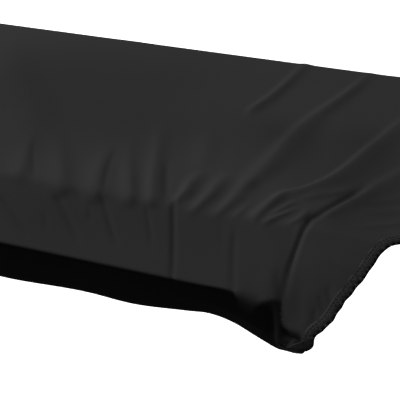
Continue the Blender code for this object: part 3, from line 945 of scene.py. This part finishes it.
def knit_material(sizes, colours):
    """Black stretch knit: fine wales, slow random tone, little gathers by the hem, and painted light and
    shade.
    """
    shade = Shader("black_stretch_knit")
    knit = shade.node("ShaderNodeUVMap", {"uv_map": "knit"})
    place = shade.node("ShaderNodeTexCoord", {}, output="Object")
    u, v = shade.parts(knit, 2)
    looks = shade.node("ShaderNodeAttribute", {"attribute_name": "hem_run"}, output="Vector")
    run, away, under = shade.parts(looks, 3)

    wale = (u * (2 * math.pi / sizes.knit_gauge)).sine()
    course = (v * (2 * math.pi / sizes.knit_gauge) + wale.size() * 1.4).sine()
    fuzz = shade.noise(place, FUZZ_SCALE)
    cloud = shade.noise(place, CLOUD_SCALE, 2.0)
    drift = shade.noise(place, DRIFT_SCALE)
    fine = (run * (2 * math.pi / sizes.gather_spacing) + drift * 9.0).sine()
    patch = shade.noise(place, GATHER_PATCH_SCALE)
    fade = (away / -FINE_GATHER_REACH).power_of(math.e) * (patch * 4.0 - 1.2)
    height = ((wale * 0.6 + course * 0.4 + fuzz * 0.8) * KNIT_DEPTH) + fine * fade * FINE_GATHER_DEPTH
    bump = shade.bump(height)

    # Painted light and shade: slow patches that lighten or darken the cloth where its sags catch or miss the
    # light
    painted_light_shade = shade.node("ShaderNodeAttribute", {"attribute_name": "patchiness"}, output="Fac")
    tone = cloud * 0.16 + fuzz * 0.10 + 0.87
    cloth = shade.scaled(tuple(colours.cloth[:3]), tone)
    # Painted shade: the cloth is mixed towards near-black where it turns under, in the folds' hollows and
    # along the hem's edge
    colour = shade.blend(under, cloth, tuple(colours.painted_shade_band))
    colour = shade.scaled(colour, painted_light_shade)
    rough = cloud * 0.12 + 0.76
    return shade.finish(
        {"Metallic": 0.0, "Specular IOR Level": 0.06, "Sheen Weight": 0.0, "Sheen Roughness": 0.5},
        {"Base Color": colour, "Roughness": rough, "Normal": bump})


def thread_material(colours):
    """Black sewing thread, a little glossier than the cloth, with its twist as fine ridges."""
    shade = Shader("black_sewing_thread")
    place = shade.node("ShaderNodeTexCoord", {}, output="Object")
    twist = shade.noise(place, TWIST_SCALE)
    bump = shade.bump(twist * 0.00005)
    tone = twist * 0.4 + 0.8
    colour = shade.scaled(tuple(colours.thread[:3]), tone)
    return shade.finish(
        {"Metallic": 0.0, "Specular IOR Level": 0.08},
        {"Base Color": colour, "Roughness": twist * 0.2 + 0.45, "Normal": bump})


def material_called(name, make, *values):
    """The material of this name, made if it isn't there yet."""
    return bpy.data.materials.get(name) or make(*values)


class COVER_OT_cloth(bpy.types.Operator):
    """Makes the cloth of the cover with all its folds"""

    bl_idname = "cover.make_cloth"
    bl_label = "Make Cloth"

    def execute(self, context):
        sizes, colours = context.scene.cover_sizes, context.scene.cover_colours
        positions, main, side, knit, looks, painted_tones = cover_grid(sizes)
        faces = np.concatenate([quads(main, False), quads(side, True)])
        material = material_called("black_stretch_knit", knit_material, sizes, colours)
        cloth, used = new_object("cover_cloth", positions, faces, material)
        corners = np.zeros(len(cloth.data.loops), dtype=np.int32)
        cloth.data.loops.foreach_get("vertex_index", corners)
        flat = cloth.data.uv_layers.new(name="knit")
        flat.data.foreach_set("uv", knit[used][corners].ravel())
        layer = cloth.data.attributes.new("hem_run", "FLOAT_VECTOR", "POINT")
        layer.data.foreach_set("vector", looks[used].ravel())
        layer = cloth.data.attributes.new("patchiness", "FLOAT", "POINT")
        layer.data.foreach_set("value", painted_tones[used])
        solid = cloth.modifiers.new("thickness", "SOLIDIFY")
        solid.thickness = sizes.cloth_thickness
        solid.offset = -1
        solid.use_rim = True
        solid.use_quality_normals = True
        return {"FINISHED"}


class COVER_OT_hem(bpy.types.Operator):
    """Makes the gathered hem that holds the elastic"""

    bl_idname = "cover.make_hem"
    bl_label = "Make Hem"

    def execute(self, context):
        sizes, colours = context.scene.cover_sizes, context.scene.cover_colours
        at, line, inward, outward = hem_frame(sizes)
        rings = hem_ring(sizes, at, line, inward, outward)
        numbers = np.arange(rings.shape[0] * rings.shape[1]).reshape(rings.shape[:2])
        numbers = np.concatenate([numbers, numbers[:1]])
        numbers = np.concatenate([numbers, numbers[:, :1]], axis=1)
        material = material_called("black_stretch_knit", knit_material, sizes, colours)
        hem, used = new_object("cover_hem", rings.reshape(-1, 3), quads(numbers, False), material)
        around = np.arange(HEM_SIDES) / HEM_SIDES * HEM_GIRTH * sizes.hem_width
        knit = np.stack(np.broadcast_arrays(at[:, None], around[None]), axis=2).reshape(-1, 2)
        corners = np.zeros(len(hem.data.loops), dtype=np.int32)
        hem.data.loops.foreach_get("vertex_index", corners)
        flat = hem.data.uv_layers.new(name="knit")
        flat.data.foreach_set("uv", knit[corners].ravel())
        looks = np.broadcast_arrays(at[:, None], AWAY_FROM_GATHERS, hem_shade(line))
        layer = hem.data.attributes.new("hem_run", "FLOAT_VECTOR", "POINT")
        layer.data.foreach_set("vector", np.stack(looks, axis=2).ravel())
        layer = hem.data.attributes.new("patchiness", "FLOAT", "POINT")
        layer.data.foreach_set("value", np.ones(len(hem.data.vertices)))
        return {"FINISHED"}


def hem_shade(line):
    """How much painted shade the hem gets: all of it where it is tucked under, and only along its very edge
    elsewhere.
    """
    turn = 2 * np.pi * np.arange(HEM_SIDES) / HEM_SIDES
    edge = smooth_step((-np.cos(turn) - 0.10) / 0.5)[None]
    return 1 - open_part(line) * (1 - edge)


def stitch_lines(sizes):
    """The two closed lines that the stitches follow, on the hem's outer side, and their outward ways."""
    at, line, inward, outward = hem_frame(sizes)
    lines = []
    for row in (0, 1):
        into = sizes.hem_width - STITCH_INSET - row * sizes.stitch_rows_apart
        swell = sizes.hem_swell * (1 - HEM_FLATTENING * open_part(line))
        lines.append(line + inward * into + outward * (swell + STITCH_RISE * sizes.thread_width))
    return lines, outward


def stitch_tree(material):
    """Geometry Nodes that sew small stitches along a line."""
    tree = bpy.data.node_groups.new("hem_stitches", "GeometryNodeTree")
    tree.interface.new_socket("Geometry", in_out="INPUT", socket_type="NodeSocketGeometry")
    for name, kind in (("Stitch Pitch", "Float"), ("Stitch Length", "Float"), ("Thread Width", "Float"),
                       ("Unevenness", "Float"), ("Seed", "Int")):
        tree.interface.new_socket(name, in_out="INPUT", socket_type="NodeSocket" + kind)
    tree.interface.new_socket("Geometry", in_out="OUTPUT", socket_type="NodeSocketGeometry")
    add = tree.nodes.new
    given, result = add("NodeGroupInput"), add("NodeGroupOutput")
    curve, even = add("GeometryNodeMeshToCurve"), add("GeometryNodeResampleCurve")
    even.mode = "LENGTH"
    along, outward = add("GeometryNodeInputTangent"), add("GeometryNodeInputNamedAttribute")
    outward.data_type = "FLOAT_VECTOR"
    outward.inputs["Name"].default_value = "outward"
    lay, lift = add("FunctionNodeAlignRotationToVector"), add("FunctionNodeAlignRotationToVector")
    lay.axis, lift.axis, lift.pivot_axis = "X", "Z", "X"
    bead, shape = add("GeometryNodeMeshIcoSphere"), add("GeometryNodeTransform")
    bead.inputs["Radius"].default_value = 0.5
    bead.inputs["Subdivisions"].default_value = 1
    size = add("ShaderNodeCombineXYZ")
    wobble = add("FunctionNodeRandomValue")
    wobble.data_type = "FLOAT_VECTOR"
    least, most = add("ShaderNodeVectorMath"), add("ShaderNodeVectorMath")
    least.operation = most.operation = "SCALE"
    least.inputs[0].default_value = (0.0, 0.0, -1.0)
    most.inputs[0].default_value = (0.0, 0.0, 1.0)
    turn, euler = add("FunctionNodeRotateRotation"), add("FunctionNodeEulerToRotation")
    turn.rotation_space = "LOCAL"
    place, real = add("GeometryNodeInstanceOnPoints"), add("GeometryNodeRealizeInstances")
    finish = add("GeometryNodeSetMaterial")
    finish.inputs["Material"].default_value = material
    for source, leaves, target, enters in (
            (given, "Geometry", curve, "Mesh"),
            (curve, "Curve", even, "Curve"),
            (given, "Stitch Pitch", even, "Length"),
            (along, "Tangent", lay, "Vector"),
            (lay, "Rotation", lift, "Rotation"),
            (outward, "Attribute", lift, "Vector"),
            (given, "Unevenness", least, "Scale"),
            (given, "Unevenness", most, "Scale"),
            (least, "Vector", wobble, "Min"),
            (most, "Vector", wobble, "Max"),
            (given, "Seed", wobble, "Seed"),
            (wobble, "Value", euler, "Euler"),
            (lift, "Rotation", turn, "Rotation"),
            (euler, "Rotation", turn, "Rotate By"),
            (given, "Stitch Length", size, "X"),
            (given, "Thread Width", size, "Y"),
            (given, "Thread Width", size, "Z"),
            (bead, "Mesh", shape, "Geometry"),
            (size, "Vector", shape, "Scale"),
            (even, "Curve", place, "Points"),
            (shape, "Geometry", place, "Instance"),
            (turn, "Rotation", place, "Rotation"),
            (place, "Instances", real, "Geometry"),
            (real, "Geometry", finish, "Geometry"),
            (finish, "Geometry", result, "Geometry"),
    ):
        tree.links.new(source.outputs[leaves], target.inputs[enters])
    return tree


class COVER_OT_stitching(bpy.types.Operator):
    """Sews the two rows of stitches along the hem"""

    bl_idname = "cover.make_stitching"
    bl_label = "Make Stitching"

    def execute(self, context):
        sizes, colours = context.scene.cover_sizes, context.scene.cover_colours
        lines, outward = stitch_lines(sizes)
        count = len(lines[0])
        edges = [(row * count + k, row * count + (k + 1) % count) for row in (0, 1) for k in range(count)]
        data = bpy.data.meshes.new("hem_path")
        data.from_pydata(np.concatenate(lines).tolist(), edges, [])
        layer = data.attributes.new("outward", "FLOAT_VECTOR", "POINT")
        layer.data.foreach_set("vector", np.concatenate([outward, outward]).ravel())
        path = bpy.data.objects.new("hem_path", data)
        context.scene.collection.objects.link(path)
        material = material_called("black_sewing_thread", thread_material, colours)
        tree = stitch_tree(material)
        sewing = path.modifiers.new("stitches", "NODES")
        sewing.node_group = tree
        values = {
            "Stitch Pitch": STITCH_PITCH * sizes.stitch_length, "Stitch Length": sizes.stitch_length,
            "Thread Width": sizes.thread_width, "Unevenness": STITCH_UNEVENNESS, "Seed": sizes.seed,
        }
        for item in tree.interface.items_tree:
            if item.in_out == "INPUT" and item.name in values:
                sewing[item.identifier] = values[item.name]
        context.view_layer.update()
        evaluated = path.evaluated_get(context.evaluated_depsgraph_get())
        data = bpy.data.meshes.new_from_object(evaluated)
        bpy.data.objects.remove(path)
        if not data.polygons:
            raise RuntimeError("The stitches came out empty")
        data.name = "hem_stitching"
        stitches = bpy.data.objects.new("hem_stitching", data)
        context.scene.collection.objects.link(stitches)
        return {"FINISHED"}


class COVER_OT_fit(bpy.types.Operator):
    """Joins the pieces to the frame and hides the model's own cover"""

    bl_idname = "cover.fit_pieces"
    bl_label = "Fit Pieces"

    def execute(self, context):
        names = ("cover_cloth", "cover_hem", "hem_stitching")
        cloth, hem, stitches = [bpy.data.objects[name] for name in names]
        for piece in (cloth, hem, stitches):
            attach(piece, "root")
        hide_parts("cover")
        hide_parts("cover")
        return {"FINISHED"}


def floor_material(colours):
    """Pale, even studio floor that stays white."""
    shade = Shader("pale_floor")
    place = shade.node("ShaderNodeTexCoord", {}, output="Object")
    cloud = shade.noise(place, FLOOR_SCALE)
    tone = cloud * 0.01 + 0.995
    colour = shade.scaled(tuple(colours.floor[:3]), tone)
    return shade.finish(
        {"Roughness": 0.9, "Specular IOR Level": 0.0, "Emission Color": (1.0, 1.0, 1.0, 1.0),
         "Emission Strength": FLOOR_GLOW},
        {"Base Color": colour})


class COVER_OT_stage(bpy.types.Operator):
    """Sets up the pale floor, the soft lights and the camera"""

    bl_idname = "cover.make_stage"
    bl_label = "Make Stage"

    def execute(self, context):
        scene = context.scene
        half = FLOOR_SIZE / 2
        corners = [(-half, -half, 0), (half, -half, 0), (half, half, 0), (-half, half, 0)]
        data = bpy.data.meshes.new("studio_floor")
        data.from_pydata([(x, y, FLOOR_HEIGHT) for x, y, z in corners], [], [(0, 1, 2, 3)])
        data.materials.append(floor_material(scene.cover_colours))
        floor = bpy.data.objects.new("studio_floor", data)
        floor.visible_diffuse = False
        floor.visible_glossy = False
        scene.collection.objects.link(floor)
        for light in LIGHTS:
            lamp = bpy.data.lights.new(light.name, "AREA")
            lamp.shape = "DISK"
            lamp.size = light.size
            lamp.energy = light.power
            thing = bpy.data.objects.new(light.name, lamp)
            thing.location = light.place
            aim = np.array(light.place) - np.array(LIGHT_AIM)
            thing.rotation_euler = (math.atan2(math.hypot(aim[0], aim[1]), aim[2]), 0,
                                    math.atan2(aim[0], -aim[1]))
            scene.collection.objects.link(thing)
        world = bpy.data.worlds.new("studio_air")
        world.use_nodes = True
        world.node_tree.nodes["Background"].inputs["Color"].default_value = (1, 1, 1, 1)
        world.node_tree.nodes["Background"].inputs["Strength"].default_value = AIR_LIGHT
        scene.world = world
        camera = bpy.data.cameras.new("camera")
        camera.lens = CAMERA_LENS
        camera.sensor_width = 36.0
        view = bpy.data.objects.new("camera", camera)
        view.location = CAMERA_PLACE
        view.rotation_euler = CAMERA_TURN
        scene.collection.objects.link(view)
        scene.camera = view
        scene.view_settings.view_transform = "Standard"
        return {"FINISHED"}


class COVER_PT_panel(bpy.types.Panel):
    """Lists the cover's sizes, colours and steps"""

    bl_label = "Stretch Cover"
    bl_idname = "COVER_PT_panel"
    bl_space_type = "VIEW_3D"
    bl_region_type = "UI"
    bl_category = "Cover"

    def draw(self, context):
        for group in (context.scene.cover_sizes, context.scene.cover_colours):
            box = self.layout.box()
            for name in group.bl_rna.properties.keys():
                if name not in ("rna_type", "name"):
                    box.prop(group, name)
        for operator in STEPS:
            self.layout.operator(operator.bl_idname)


STEPS = (COVER_OT_cloth, COVER_OT_hem, COVER_OT_stitching, COVER_OT_fit, COVER_OT_stage)
CLASSES = (CoverSizes, CoverColours) + STEPS + (COVER_PT_panel,)


def register():
    for each in CLASSES:
        bpy.utils.register_class(each)
    bpy.types.Scene.cover_sizes = PointerProperty(type=CoverSizes)
    bpy.types.Scene.cover_colours = PointerProperty(type=CoverColours)


def unregister():
    del bpy.types.Scene.cover_sizes
    del bpy.types.Scene.cover_colours
    for each in reversed(CLASSES):
        bpy.utils.unregister_class(each)


def main():
    register()
    bpy.ops.cover.make_cloth()
    bpy.ops.cover.make_hem()
    bpy.ops.cover.make_stitching()
    bpy.ops.cover.fit_pieces()
    bpy.ops.cover.make_stage()
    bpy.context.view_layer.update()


if __name__ == "__main__":
    main()
